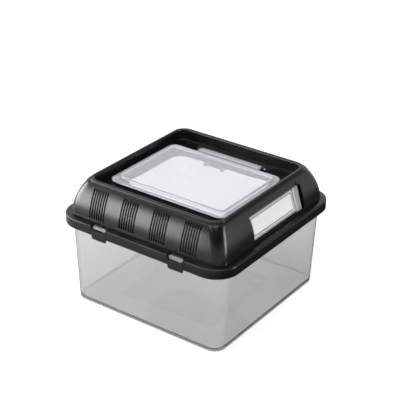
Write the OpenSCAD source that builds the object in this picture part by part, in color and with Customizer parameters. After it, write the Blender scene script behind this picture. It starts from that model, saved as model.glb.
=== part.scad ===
// Clear box for keeping small pets, with a black domed lid, a clear feeding door, two pull
// latches and a label holder. Origin: centre of the footprint, on the surface it stands on.
// +X runs to the right along the latch side, the latch side faces -Y, +Z is up. Millimetres.

/* [Tub] */
// Width of the tub's foot
tub_w = 181; // [150:1:260]
// Depth of the tub's foot
tub_d = 181; // [165:1:260]
// Height of the tub to the top of its lip
tub_h = 96.7; // [70:0.1:160]
// How far each wall leans out from foot to top
tub_flare = 4.6; // [2:0.1:6]
// Thickness of the clear walls
tub_wall = 2.2; // [1.6:0.1:2.8]
// Thickness of the tub's floor
tub_floor = 2.4; // [1.6:0.1:4]
// Corner radius of the tub's foot
tub_corner = 13; // [10:0.5:18]
// Bevel along the foot
foot_bevel = 1; // [0.5:0.1:1.5]
// How far the lip stands out from the wall
lip_reach = 4.1; // [3.5:0.1:5]
// Thickness of the lip
lip_t = 3.2; // [2.6:0.1:3.6]

/* [Lid] */
// Gap between the tub's lip and the lid's skirt
rim_gap = 1.1; // [0.6:0.1:1.5]
// Gap between the tub's lip and the lid that rests on it
seat_gap = 0.3; // [0.2:0.05:0.4]
// Thickness of the lid's skirt and ledge
rim_t = 2.2; // [1.8:0.1:2.6]
// Height of the lid's rim
rim_h = 10.2; // [10:0.1:12]
// Bevel along the rim's top edge
rim_bevel = 0.8; // [0.3:0.1:1]
// Lead-in bevel inside the rim's lower edge
rim_lead = 1.2; // [0.6:0.1:1.4]
// Width of the flat ledge outside the dome
ledge_w = 8.3; // [8:0.1:9]
// Height of the dome's side wall
dome_h = 34.4; // [32:0.1:50]
// How far the dome's side wall leans in from bottom to top
dome_lean = 12; // [8:0.1:14]
// Radius of the dome wall's upright curve
dome_curve = 70; // [60:0.1:160]
// Corner radius of the dome, seen from above
dome_corner = 11.5; // [10:0.5:15]
// Thickness of the dome's wall and of the recess
lid_wall = 2.2; // [1.8:0.1:2.4]
// Flat step between the dome and its crest
shelf_w = 1.7; // [1:0.1:2.4]
// Width of the crest round the recess
crest_w = 3.9; // [3.2:0.1:4.5]
// Height of the crest above the dome
crest_h = 2.4; // [1.5:0.1:3.5]
// Corner radius of the crest
crest_corner = 13; // [11:0.5:15]
// Depth of the recess below the crest
recess_depth = 12; // [11:0.1:14]

/* [Vents] */
// Groups of slots on the front and on the rear
slot_groups = 4; // [2:1:4]
// Slots in a group
slots_per_group = 7; // [5:1:7]
// Width of a wall slot
slot_w = 1.8; // [1.2:0.1:2]
// Spacing of the slots in a group
slot_pitch = 2.88; // [2.6:0.01:3.2]
// Spacing of the groups
group_pitch = 37.3; // [34:0.1:40]
// Height of a wall slot
slot_h = 28.5; // [20:0.1:29]
// Height of the slots' lower ends above the ledge
slot_rise = 3.1; // [2.5:0.1:4]
// Width of a slot in the recess floor
floor_slot_w = 1.4; // [1:0.1:1.6]
// Spacing of the slots in the recess floor
floor_slot_pitch = 2.8; // [2.4:0.1:3.4]
// Plain floor left at both ends of a floor slot
floor_slot_margin = 2.4; // [2:0.1:5]

/* [Feeding door] */
// Width of the door's raised panel
door_w = 130; // [100:1:136]
// Depth of the door's raised panel
door_d = 95; // [80:1:98]
// Distance of the panel's centre behind the centre of the lid
door_shift = -2.5; // [-5:0.1:0]
// Corner radius of the raised panel
door_corner = 6; // [5:0.5:10]
// Corner radius of the door's flange
flange_corner = 8.5; // [4:0.5:12]
// Thickness of the clear door
door_t = 1.8; // [1.2:0.1:2]
// Height of the raised panel above the door's flange
door_raise = 2.5; // [2.2:0.1:4]
// Height of the flange's underside above the recess floor
door_lift = 3.7; // [3.2:0.1:5]
// Width of the flange at the sides
flange_side = 4.5; // [3:0.1:6]
// Width of the flange at the front, where a finger lifts the door
flange_front = 8; // [5:0.1:12]
// Width of the flange at the rear
flange_rear = 5; // [4:0.1:7]
// How far the flange reaches over the recess floor, past the opening, at the sides
opening_side = 4; // [3:0.1:10]
// The same at the front
opening_front = 4; // [3:0.5:12]
// The same at the rear
opening_rear = 2; // [2:0.1:5]
// Corner radius of the opening under the door
opening_corner = 4; // [3:0.5:8]
// Wall of the collar round the opening, which the door's flange rests on
collar_t = 1.8; // [1.4:0.1:2]

/* [Door hinge] */
// Width of the hinge tab
tab_w = 76; // [50:1:90]
// Distance of the hinge axis behind the raised panel
tab_reach = 14; // [12:0.1:18]
// Radius of the tab's round rear edge
barrel_r = 2.2; // [2:0.1:2.6]
// Radius of the stubs the door turns on
stub_r = 1.5; // [1.2:0.1:1.6]
// Thickness of the ears that hold the stubs
ear_t = 3.5; // [3:0.1:5]
// Wall of the ears round the stubs
ear_wall = 1.5; // [1.2:0.1:1.7]

/* [Lid hinges and latches] */
// Distance of each hinge and each latch from the middle of the box
clip_x = 47; // [40:0.5:52]
// Height of the hinge axis below the ledge's top
hinge_drop = 9; // [8.6:0.1:9.4]
// Distance of the hinge axis in from the rim's outer face
hinge_inset = 3.5; // [3.4:0.1:4]
// Radius of the hinge pins
pin_r = 1.5; // [1.2:0.1:1.6]
// Wall of the hinge rings round their pins
ring_wall = 1.6; // [1.4:0.1:1.7]
// Width of the hinge rings
ring_w = 18.4; // [12:0.2:22]
// Thickness of the cheeks that carry the pins
cheek_t = 3.4; // [2.5:0.1:4]
// Width of the mouth through which a ring snaps onto its pin
mouth_w = 2; // [1.6:0.1:2.2]
// Width of the latches
latch_w = 18.4; // [14:0.1:22]
// Thickness of the latches
latch_t = 2.5; // [2:0.1:2.6]
// Width of the arms at both ends of a latch
latch_arm = 1.2; // [1:0.1:2]
// Height of a latch's crossbar
latch_bar_h = 5.4; // [4.5:0.1:5.6]
// How far the pull tab hangs below the rim
latch_tab_h = 4.5; // [3:0.1:7]
// Thickness of the pull tab
latch_tab_t = 1.6; // [1.2:0.1:2]
// Corner radius of the pull tab
latch_tab_corner = 2; // [1:0.1:2.5]
// Depth of a latch's axis below the ledge's top
latch_drop = 3; // [2.8:0.1:3.2]
// Distance of a latch's axis in from the rim's outer face
latch_inset = 1.6; // [1.4:0.1:1.8]
// Radius of the stubs a latch turns on
latch_stub_r = 0.8; // [0.6:0.05:0.9]
// Length of the stubs inside the rim
latch_stub_l = 1.4; // [1:0.1:2]
// Height of the tub's tongue, between a latch's arms, above the lip
tongue_h = 1.9; // [1:0.1:2.2]

/* [Label holder] */
// Length of the clear cover
cover_l = 87; // [60:1:92]
// Height of the clear cover along the sloping wall
cover_h = 25.4; // [16:0.1:26]
// Thickness of the clear cover
cover_t = 2; // [1.6:0.1:2.2]
// Length of the cover's pull tab
cover_tab_l = 9; // [6:0.5:12]
// Height that the pull tab adds at the cover's lower edge
cover_tab_h = 1.2; // [0.6:0.1:1.6]
// Clear border round the label
label_border = 1.8; // [1.2:0.1:3]
// Thickness of the label
label_t = 0.5; // [0.3:0.05:0.6]
// Length of the finger gap beside the cover
finger_gap = 3.8; // [3:0.1:6]
// Distance of the cover's middle behind the middle of the lid
cover_shift = 7; // [4:0.1:9]
// Height of the cover's lower edge above the ledge
cover_rise = 3; // [2.5:0.1:4.5]
// Depth of the pocket that holds the cover
pocket_depth = 2.6; // [2.4:0.1:3]
// Radius of the dimple above the finger gap
dimple_r = 2; // [1.5:0.1:2.5]
// Depth of the dimple
dimple_depth = 1; // [0.6:0.1:1.4]
// Radius of the pip in the dimple
pip_r = 0.8; // [0.5:0.1:1]

/* [Clearances] */
// Gap between a turning stub or pin and its bore
turn_gap = 0.08; // [0.05:0.01:0.1]
// Gap between neighbouring pieces
side_gap = 0.3; // [0.25:0.05:0.4]

/* [Hidden] */
$fn = 96;

// Corner centres shared by the tub and the rim, seen from above
corner_x = tub_w / 2 - tub_corner;
corner_y = tub_d / 2 - tub_corner;
// Radii about those centres, from the tub's wall out to the rim's outer face
top_r = tub_corner + tub_flare;
lip_r = top_r + lip_reach;
skirt_r = lip_r + rim_gap;
rim_r = skirt_r + rim_t;
// Half width and half depth at the rim's outer face
rim_x = corner_x + rim_r;
rim_y = corner_y + rim_r;
// Heights from the rim up to the crest
rim_top = tub_h + seat_gap + rim_t;
rim_low = rim_top - rim_h;
ledge_under = rim_top - rim_t;
dome_top = rim_top + dome_h;
lid_top = dome_top + crest_h;
recess_z = lid_top - recess_depth;
// Half sizes of the dome at its foot, and of the crest
dome_x = rim_x - ledge_w;
dome_y = rim_y - ledge_w;
crest_x = dome_x - dome_lean - shelf_w;
crest_y = dome_y - dome_lean - shelf_w;
recess_x = crest_x - crest_w;
recess_y = crest_y - crest_w;
recess_corner = crest_corner - crest_w;
// Small overlap that joins pieces of one moulding, and the reach of a cut past a surface
joined = 0.4;
past = 1;
// Plastic left below the bores of the latches' stubs
boss_wall = 1;

// Dome wall: half chord, and the curve's centre measured from the foot of the wall
chord = norm([dome_lean, dome_h]);
chord_rise = sqrt(dome_curve * dome_curve - chord * chord / 4);
curve_in = dome_lean / 2 + chord_rise * dome_h / chord;
curve_up = dome_h / 2 - chord_rise * dome_lean / chord;
wall_steps = 10;
corner_steps = 8;
// How far the dome's outer face lies in from its foot, at a height above the ledge
function lean_at(h) = curve_in - sqrt(pow(dome_curve, 2) - pow(h - curve_up, 2));
function level(i) = -rim_t / 2 + (dome_h + rim_t / 2) * i / wall_steps;
// One loop of points round a rectangle with round corners
function loop(hx, hy, r, z) = [
    for (q = [0:3], s = [0:corner_steps])
        let (a = 90 * q + 90 * s / corner_steps,
             sx = q == 0 || q == 3 ? 1 : -1,
             sy = q < 2 ? 1 : -1)
        [sx * (hx - r) + r * cos(a), sy * (hy - r) + r * sin(a), z]
];

// Door: heights and plan
flange_z = recess_z + door_lift;
panel_z = flange_z + door_t + door_raise;
ceiling_z = panel_z - door_t;
flange_w = door_w + 2 * flange_side;
flange_d = door_d + flange_front + flange_rear;
flange_y = door_shift + (flange_rear - flange_front) / 2;
collar_top = flange_z - seat_gap;
opening_w = flange_w - 2 * opening_side;
opening_d = flange_d - opening_front - opening_rear;
opening_y = flange_y + (opening_front - opening_rear) / 2;
stub_y = door_shift + door_d / 2 + tab_reach;
stub_z = flange_z + door_t - barrel_r + joined / 2;
ear_x = tab_w / 2 + side_gap;
ear_r = stub_r + turn_gap + ear_wall;

// Lid hinges and latches
hinge_y = rim_y - hinge_inset;
hinge_z = rim_top - hinge_drop;
ring_r = pin_r + turn_gap + ring_wall;
cheek_in = ring_w / 2 + side_gap;
cheek_out = cheek_in + cheek_t;
notch_w = latch_w + 2 * side_gap;
latch_y = -rim_y + latch_inset;
latch_z = rim_top - latch_drop;
bar_top = rim_low + latch_bar_h;
boss_t = latch_t + joined;
boss_low = latch_z - latch_stub_r - turn_gap - boss_wall;
tongue_w = latch_w - 2 * latch_arm - 2 * side_gap;
tongue_y = corner_y + lip_r;
notch_y = rim_y - ledge_w + lid_wall / 2;

// Label holder: slope and middle of the pocket on the dome's right side
label_low = lean_at(cover_rise);
label_high = lean_at(cover_rise + cover_h);
label_tilt = atan2(label_high - label_low, cover_h);
label_z = rim_top + cover_rise + cover_h * cos(label_tilt) / 2;
label_x = dome_x - (label_low + label_high) / 2;
pocket_l = cover_l + finger_gap + 2 * side_gap;
pocket_y = -cover_l / 2 - side_gap;
label_l = cover_l - cover_tab_l - 2 * label_border;
label_h = cover_h - cover_tab_h - 2 * label_border;
pocket_h = cover_h + 2 * side_gap;

// A rectangle with round corners
module rounded(w, d, r) {
    square([w - 2 * r, d], center = true);
    square([w, d - 2 * r], center = true);
    for (x = [-1, 1], y = [-1, 1])
        translate([x * (w / 2 - r), y * (d / 2 - r)]) circle(r);
}

// A flat ring between two such rectangles
module ring(w, d, r, wall, h) {
    linear_extrude(h) difference() {
        rounded(w, d, r);
        rounded(w - 2 * wall, d - 2 * wall, r - wall);
    }
}

// Carries a section, drawn outward from a corner centre, round the whole box
module around(cx, cy) {
    for (a = [0, 180]) {
        rotate(a) translate([cx, 0, 0]) rotate([90, 0, 0])
            linear_extrude(2 * cy, center = true) children();
        rotate(a + 90) translate([cy, 0, 0]) rotate([90, 0, 0])
            linear_extrude(2 * cx, center = true) children();
    }
    for (q = [0:3])
        translate([q == 0 || q == 3 ? cx : -cx, q < 2 ? cy : -cy, 0])
            rotate(90 * q) rotate_extrude(angle = 90) children();
}

// A slab across X at both hinge or latch places
module at_clips() {
    for (s = [-1, 1]) translate([s * clip_x, 0, 0]) children();
}

// A bar along X with round section
module rod(l, r) {
    rotate([0, 90, 0]) cylinder(h = l, r = r, center = true);
}

module tub_section() {
    lean = tub_flare / tub_h;
    lip_z = tub_h - lip_t;
    polygon([
        [0, 0],
        [tub_corner - foot_bevel, 0],
        [tub_corner + lean * foot_bevel, foot_bevel],
        [tub_corner + lean * lip_z, lip_z],
        [lip_r, lip_z],
        [lip_r, tub_h],
        [top_r - tub_wall, tub_h],
        [tub_corner + lean * tub_floor - tub_wall, tub_floor],
        [0, tub_floor]
    ]);
}

// Two cheeks and the pin between them, standing out from the rear wall
module hinge_cheeks() {
    root = corner_y + tub_corner + tub_flare * hinge_z / tub_h - tub_wall / 2;
    for (s = [-1, 1])
        translate([s * (cheek_in + cheek_t / 2), 0, 0]) {
            translate([0, hinge_y, hinge_z]) rod(cheek_t, ring_r);
            translate([-cheek_t / 2, root, hinge_z - ring_r])
                cube([cheek_t, hinge_y - root, tub_h - joined - hinge_z + ring_r]);
        }
    translate([0, hinge_y, hinge_z]) rod(2 * cheek_in + cheek_t, pin_r);
}

module tub() color([0.82, 0.85, 0.86, 0.35]) {
    difference() {
        union() {
            around(corner_x, corner_y) tub_section();
            translate([-corner_x, -corner_y, 0]) cube([2 * corner_x, 2 * corner_y, tub_floor]);
            // Tongues that show through the rim between the arms of the latches
            at_clips() translate([-tongue_w / 2, -tongue_y, tub_h - lip_t])
                cube([tongue_w, tongue_y - notch_y - side_gap, lip_t + tongue_h]);
        }
        // Room in the lip for the lid's hinge rings
        at_clips() translate([-cheek_in, hinge_y - ring_r - side_gap, tub_h - lip_t - past])
            cube([2 * cheek_in, tongue_y, lip_t + 2 * past]);
    }
    at_clips() hinge_cheeks();
}

module rim_section() {
    polygon([
        [skirt_r, rim_low + rim_lead],
        [skirt_r + rim_lead, rim_low],
        [rim_r, rim_low],
        [rim_r, rim_top - rim_bevel],
        [rim_r - rim_bevel, rim_top],
        [rim_r - ledge_w - lid_wall, rim_top],
        [rim_r - ledge_w - lid_wall, ledge_under],
        [skirt_r, ledge_under]
    ]);
}

// The curved side wall, a closed shell between an outer and an inner surface
module dome_wall() {
    outer = [for (i = [0:wall_steps]) let (h = level(i), t = lean_at(h))
        loop(dome_x - t, dome_y - t, dome_corner, rim_top + h)];
    inner = [for (i = [wall_steps:-1:0]) let (h = level(i), t = lean_at(h) + lid_wall)
        loop(dome_x - t, dome_y - t, dome_corner - lid_wall, rim_top + h)];
    rings = concat(outer, inner);
    n = len(rings[0]);
    m = len(rings);
    faces = [for (k = [0:m - 1], i = [0:n - 1])
        let (a = k * n, b = (k + 1) % m * n, j = (i + 1) % n)
        [a + i, b + i, b + j, a + j]];
    polyhedron([for (r = rings) each r], faces, convexity = 8);
}

// Places its children on the sloping label plane: x outward, y to the rear, z up the slope
module on_label_slope() {
    translate([label_x, cover_shift, label_z]) rotate([0, -label_tilt, 0]) children();
}

module wall_slots() {
    run = (slots_per_group - 1) * slot_pitch;
    for (g = [0:slot_groups - 1], i = [0:slots_per_group - 1])
        translate([
            (g - (slot_groups - 1) / 2) * group_pitch - run / 2 + i * slot_pitch - slot_w / 2,
            crest_y - shelf_w,
            rim_top + slot_rise
        ])
            cube([slot_w, ledge_w + dome_lean + shelf_w, slot_h]);
}

// A row of slots in the recess floor, from x0 to x1, between the opening's edge and the recess wall
module floor_slots(x0, x1, edge) {
    l = recess_y - edge - 2 * floor_slot_margin;
    count = floor((x1 - x0) / floor_slot_pitch);
    for (i = [0:count])
        translate([
            (x0 + x1) / 2 + (i - count / 2) * floor_slot_pitch - floor_slot_w / 2,
            edge + floor_slot_margin,
            recess_z - lid_wall - past
        ])
            cube([floor_slot_w, l, lid_wall + 2 * past]);
}

module door_ears() {
    for (s = [-1, 1])
        translate([s * (ear_x + ear_t / 2), stub_y, 0]) {
            translate([0, 0, stub_z]) rod(ear_t, ear_r);
            translate([-ear_t / 2, -ear_r, recess_z - joined])
                cube([ear_t, 2 * ear_r, stub_z - recess_z + joined]);
        }
}

// Rings under the rear ledge that snap onto the tub's pins
module hinge_rings() {
    at_clips() translate([0, hinge_y, hinge_z]) {
        rod(ring_w, ring_r);
        translate([-ring_w / 2, -ring_r, 0])
            cube([ring_w, 2 * ring_r, ledge_under - hinge_z + joined]);
    }
}

// Thicker rim beside each latch, which holds the latch's stubs
module latch_bosses() {
    w = latch_stub_l + 2 * joined;
    at_clips() for (s = [-1, 1])
        translate([s * (notch_w + latch_stub_l + turn_gap) / 2 - w / 2, -rim_y, boss_low])
            cube([w, boss_t, rim_top - rim_bevel - boss_low]);
}

module lid_shell() {
    low = recess_z - lid_wall;
    difference() {
        around(corner_x, corner_y) rim_section();
        // Notches for the cheeks of the rear hinges, under the ledge
        at_clips() translate([-cheek_out - side_gap, corner_y + lip_r, rim_low - past])
            cube([2 * (cheek_out + side_gap), rim_r, ledge_under - rim_low + past]);
    }
    dome_wall();
    // Crest, the step outside it, and the wall of the recess
    translate([0, 0, dome_top - lid_wall])
        ring(2 * (crest_x + shelf_w - joined), 2 * (crest_y + shelf_w - joined),
             dome_corner - joined, crest_w + shelf_w - joined, lid_wall);
    translate([0, 0, dome_top - lid_wall])
        ring(2 * crest_x, 2 * crest_y, crest_corner, crest_w, lid_wall + crest_h);
    translate([0, 0, low])
        ring(2 * (recess_x + lid_wall), 2 * (recess_y + lid_wall),
             recess_corner + lid_wall, lid_wall, dome_top - lid_wall / 2 - low);
    // Floor of the recess and the collar round the opening
    translate([0, 0, low]) linear_extrude(lid_wall)
        rounded(2 * recess_x + lid_wall, 2 * recess_y + lid_wall, recess_corner + lid_wall / 2);
    translate([0, opening_y, low]) linear_extrude(collar_top - low)
        rounded(opening_w + 2 * collar_t, opening_d + 2 * collar_t, opening_corner + collar_t);
    // Seat behind the label pocket
    on_label_slope() translate([-pocket_depth - lid_wall, pocket_y - lid_wall - joined,
                                -pocket_h / 2 - lid_wall - joined])
        cube([pocket_depth + lid_wall / 2, pocket_l + 2 * (lid_wall + joined),
              pocket_h + 2 * (lid_wall + joined)]);
}

// Opening under the feeding door
module feeding_opening() {
    translate([0, opening_y, recess_z - lid_wall - past])
        linear_extrude(collar_top - recess_z + lid_wall + 2 * past)
            rounded(opening_w, opening_d, opening_corner);
}

// Air slots in the front and rear walls and in the recess floor
module air_slots() {
    full = recess_x - 2 * floor_slot_margin;
    half = opening_d / 2 + collar_t;
    wall_slots();
    mirror([0, 1, 0]) wall_slots();
    mirror([0, 1, 0]) floor_slots(-full, full, half - opening_y);
    for (s = [0, 1]) mirror([s, 0, 0])
        floor_slots(ear_x + ear_t + floor_slot_margin, full, half + opening_y);
}

// Bores of the door's ears and of the hinge rings, and the rings' mouths
module hinge_bores() {
    translate([0, stub_y, stub_z]) rod(2 * (ear_x + ear_t + past), stub_r + turn_gap);
    at_clips() translate([0, hinge_y, hinge_z]) {
        rod(ring_w + 2 * past, pin_r + turn_gap);
        translate([-ring_w / 2 - past, -mouth_w / 2, -ring_r - past])
            cube([ring_w + 2 * past, mouth_w, ring_r + past]);
    }
}

// Notches in the rim for the latches and the tub's tongues, with the stubs' bores
module latch_notches() {
    at_clips() {
        translate([-notch_w / 2, -rim_y - past, rim_low - past])
            cube([notch_w, rim_y + past - notch_y, rim_h + 2 * past]);
        translate([0, latch_y, latch_z])
            rod(notch_w + 2 * (latch_stub_l + turn_gap), latch_stub_r + turn_gap);
    }
}

// Pocket for the label, and the dimple with a pip beside its upper corner
module label_pocket() {
    on_label_slope() {
        translate([-pocket_depth, pocket_y, -pocket_h / 2])
            cube([pocket_depth + 2 * lid_wall, pocket_l, pocket_h]);
        translate([-dimple_depth, cover_l / 2 - dimple_r, pocket_h / 2 + dimple_r])
            rotate([0, 90, 0]) difference() {
                cylinder(h = dimple_depth + lid_wall, r = dimple_r);
                cylinder(h = dimple_depth, r = pip_r);
            }
    }
}

module lid() color([0.06, 0.06, 0.065]) difference() {
    union() {
        lid_shell();
        door_ears();
        hinge_rings();
        latch_bosses();
    }
    feeding_opening();
    air_slots();
    hinge_bores();
    latch_notches();
    label_pocket();
}

module feeding_door() color([0.86, 0.88, 0.9, 0.35]) {
    difference() {
        union() {
            translate([0, flange_y, flange_z])
                linear_extrude(door_t) rounded(flange_w, flange_d, flange_corner);
            translate([0, door_shift, flange_z])
                linear_extrude(door_raise + door_t) rounded(door_w, door_d, door_corner);
        }
        translate([0, door_shift, flange_z - past]) linear_extrude(ceiling_z - flange_z + past)
            rounded(door_w - 2 * door_t, door_d - 2 * door_t, door_corner - door_t);
    }
    // Hinge tab, its round rear edge and the stubs
    translate([-tab_w / 2, door_shift + door_d / 2 + flange_rear / 2, flange_z])
        cube([tab_w, tab_reach - flange_rear / 2, door_t]);
    translate([0, stub_y, stub_z]) {
        rod(tab_w, barrel_r);
        rod(tab_w + 2 * (side_gap + ear_t), stub_r);
    }
}

module latch() {
    bottom = rim_low - latch_tab_h;
    rest = latch_w - 2 * latch_tab_corner;
    // Crossbar and arms
    translate([-latch_w / 2, -rim_y, rim_low]) cube([latch_w, latch_t, latch_bar_h]);
    for (s = [-1, 1])
        translate([s * (latch_w - latch_arm) / 2 - latch_arm / 2, -rim_y, bar_top - joined])
            cube([latch_arm, latch_t, latch_z + latch_t / 2 - bar_top + joined]);
    // Pull tab with round lower corners
    translate([0, -rim_y + latch_tab_t, 0]) rotate([90, 0, 0]) linear_extrude(latch_tab_t) {
        translate([-rest / 2, bottom]) square([rest, latch_tab_h + joined]);
        translate([-latch_w / 2, bottom + latch_tab_corner])
            square([latch_w, latch_tab_h + joined - latch_tab_corner]);
        for (s = [-1, 1])
            translate([s * rest / 2, bottom + latch_tab_corner]) circle(latch_tab_corner);
    }
    // Stubs on the latch's axis
    for (s = [-1, 1])
        translate([s * (latch_w - latch_arm + side_gap + latch_stub_l) / 2, latch_y, latch_z])
            rod(latch_arm + side_gap + latch_stub_l, latch_stub_r);
}

module latch_left() color([0.07, 0.07, 0.075]) translate([-clip_x, 0, 0]) latch();

module latch_right() color([0.07, 0.07, 0.075]) translate([clip_x, 0, 0]) latch();

module label_cover() color([0.88, 0.9, 0.9, 0.35]) on_label_slope()
    translate([-pocket_depth + side_gap, -cover_l / 2, -cover_h / 2]) difference() {
        union() {
            translate([0, 0, cover_tab_h]) cube([cover_t, cover_l, cover_h - cover_tab_h]);
            translate([0, cover_l - cover_tab_l, 0]) cube([cover_t, cover_tab_l, cover_h]);
        }
        translate([-past, label_border, cover_tab_h + label_border])
            cube([past + label_t, label_l, label_h]);
    }

module label_card() color([0.93, 0.93, 0.92]) on_label_slope()
    translate([-pocket_depth + side_gap, label_border - cover_l / 2,
               cover_tab_h + label_border - cover_h / 2])
        cube([label_t, label_l, label_h]);

tub();
lid();
feeding_door();
latch_left();
latch_right();
label_cover();
label_card();
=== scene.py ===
import math

import bmesh
import bpy
from mathutils import Matrix, Vector


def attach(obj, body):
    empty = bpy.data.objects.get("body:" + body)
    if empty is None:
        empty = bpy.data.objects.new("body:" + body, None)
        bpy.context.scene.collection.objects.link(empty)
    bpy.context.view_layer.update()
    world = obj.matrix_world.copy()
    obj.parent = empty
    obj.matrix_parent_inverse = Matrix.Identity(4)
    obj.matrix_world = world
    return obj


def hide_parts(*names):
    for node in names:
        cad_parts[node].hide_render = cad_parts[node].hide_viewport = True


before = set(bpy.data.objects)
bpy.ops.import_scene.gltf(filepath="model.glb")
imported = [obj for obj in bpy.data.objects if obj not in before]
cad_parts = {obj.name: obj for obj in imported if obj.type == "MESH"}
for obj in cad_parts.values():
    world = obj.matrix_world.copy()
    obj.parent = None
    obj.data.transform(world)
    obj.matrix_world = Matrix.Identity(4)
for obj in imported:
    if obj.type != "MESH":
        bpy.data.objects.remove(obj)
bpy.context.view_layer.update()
scene = bpy.context.scene

# Lengths are in millimetres here and are brought to metres as each mesh is made
MM = 0.001

# Steps of a round corner seen from above, of a softened edge, of the dome's wall and of round bars,
# and the largest share of a side that a softened corner takes
CORNER_STEPS = 16
SOFT_STEPS = 4
WALL_STEPS = 20
ROD_STEPS = 40
THIN_ROD_STEPS = 24
LARGEST_SHARE = 0.45
# Points closer than this, in metres, are one
TOUCHING = 1e-7
# Edges sharper than this, in degrees, stay sharp under smooth shading
SHARP_ANGLE = 32.0

# Heights, from the rim's lower edge to the crest of the lid
RIM_LOW = 89.0
LIP_LOW = 93.5
TUB_TOP = 96.7
RIM_TOP = 99.2
RECESS = 124.0
COLLAR_TOP = 127.4
DOME_TOP = 133.6
LID_TOP = 136.0

# Half widths and corner radii of the tub's lip, and of the lid from its rim inward
LIP_HALF, LIP_CORNER = 99.2, 21.7
RIM_HALF, RIM_CORNER = 102.5, 25.0
CREST_HALF, CREST_CORNER = 80.5, 13.0
CREST_WIDTH = 3.9
WALL = 2.2

# The dome's side wall is part of a circle. It is deeper than the other walls, so that less shows
# through its slots at a slant.
DOME_CORNER = 11.5
DOME_CURVE = 70.0
DOME_CENTRE, DOME_CENTRE_Z = 24.385, 94.14
SLOT_DEPTH = 3.2

# Feeding opening: half x, half y and corner radius. A collar stands round it.
OPENING = (65.5, 51.0, 4.0)
OPENING_Y = -3.0
COLLAR_WALL = 1.8

# Middles of the latches and the rear hinges, to each side
CLIP_X = 47.0

# Rear hinges: pins between cheeks on the tub, rings on the lid
HINGE_Y, HINGE_Z = 99.0, 90.2
PIN_R, PIN_BORE_R, RING_R = 1.5, 1.58, 3.18
PIN_HALF = 10.0
RING_HALF, RING_ROOM_HALF = 9.2, 9.5
CHEEK_OUT, CHEEK_ROOM_HALF = 12.9, 13.2

# Stubs of the feeding door, and the lid's ears that hold them
STUB_Y, STUB_Z = 59.0, 127.5
EAR_IN, EAR_OUT, EAR_R = 38.3, 41.8, 3.08

# Latches: stubs that turn in the rim, and limits of the crossbar
LATCH_Y, LATCH_Z = -100.9, 96.2
LATCH_STUB_R, LATCH_BORE_R = 0.8, 0.88
LATCH_HALF, LATCH_ROOM_HALF = 9.2, 9.5
LATCH_BAR_TOP = 94.4
LATCH_BACK, LATCH_FRONT = 100.0, 102.5

# The label's slope on the dome's right side: out of the wall, to the rear, up the slope
SLOPE_X, SLOPE_Y, SLOPE_Z = 89.8925, 7.0, 114.307
TILT = math.radians(17.5848)
ON_SLOPE = Matrix((
    (math.cos(TILT), 0.0, -math.sin(TILT), SLOPE_X),
    (0.0, 1.0, 0.0, SLOPE_Y),
    (math.sin(TILT), 0.0, math.cos(TILT), SLOPE_Z),
    (0.0, 0.0, 0.0, 1.0)))
# Plates on the slope are built lying down: their width runs to the rear, their height up the slope
FLAT_ON_SLOPE = ON_SLOPE @ Matrix((
    (0.0, 0.0, 1.0, 0.0),
    (1.0, 0.0, 0.0, 0.0),
    (0.0, 1.0, 0.0, 0.0),
    (0.0, 0.0, 0.0, 1.0)))

# Label cover and card: limits along the slope, up it and out of the wall, and the printed border
COVER_ALONG, COVER_RISE, COVER_OUT = (-43.5, 43.5), (-11.5, 12.7), (-2.3, -0.3)
CARD_ALONG, CARD_RISE, CARD_OUT = (-41.7, 32.7), (-9.7, 10.9), (-2.3, -1.8)
BORDER_INSET, BORDER_HALF_LINE = 1.5, 0.6


# ---------------------------------------------------------------- materials

def new_group(name, inputs, outputs):
    """A shader node group with its sockets and its input and output nodes."""
    tree = bpy.data.node_groups.new(name, "ShaderNodeTree")
    for label, kind, value in inputs:
        socket = tree.interface.new_socket(name=label, in_out="INPUT", socket_type=kind)
        socket.default_value = value
    for label, kind in outputs:
        tree.interface.new_socket(name=label, in_out="OUTPUT", socket_type=kind)
    return tree, tree.nodes.new("NodeGroupInput"), tree.nodes.new("NodeGroupOutput")


def math_node(tree, operation, a, b, clamp=False):
    """A Math node. Each input is a socket or a number."""
    node = tree.nodes.new("ShaderNodeMath")
    node.operation = operation
    node.use_clamp = clamp
    for socket, value in zip(node.inputs, (a, b)):
        if isinstance(value, bpy.types.NodeSocket):
            tree.links.new(value, socket)
        else:
            socket.default_value = value
    return node.outputs[0]


def noise_node(tree, vector, scale, detail):
    """The value of a Noise Texture. Its scale is a socket or a number."""
    node = tree.nodes.new("ShaderNodeTexNoise")
    tree.links.new(vector, node.inputs["Vector"])
    if isinstance(scale, bpy.types.NodeSocket):
        tree.links.new(scale, node.inputs["Scale"])
    else:
        node.inputs["Scale"].default_value = scale
    node.inputs["Detail"].default_value = detail
    return node.outputs["Fac"]


def mix_colour(tree, factor, a, b):
    """Colour a where the factor is 0, and b where it is 1."""
    node = tree.nodes.new("ShaderNodeMix")
    node.data_type = "RGBA"
    for socket, value in zip((node.inputs[0], node.inputs[6], node.inputs[7]), (factor, a, b)):
        if isinstance(value, bpy.types.NodeSocket):
            tree.links.new(value, socket)
        else:
            socket.default_value = value
    return node.outputs[2]


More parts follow.
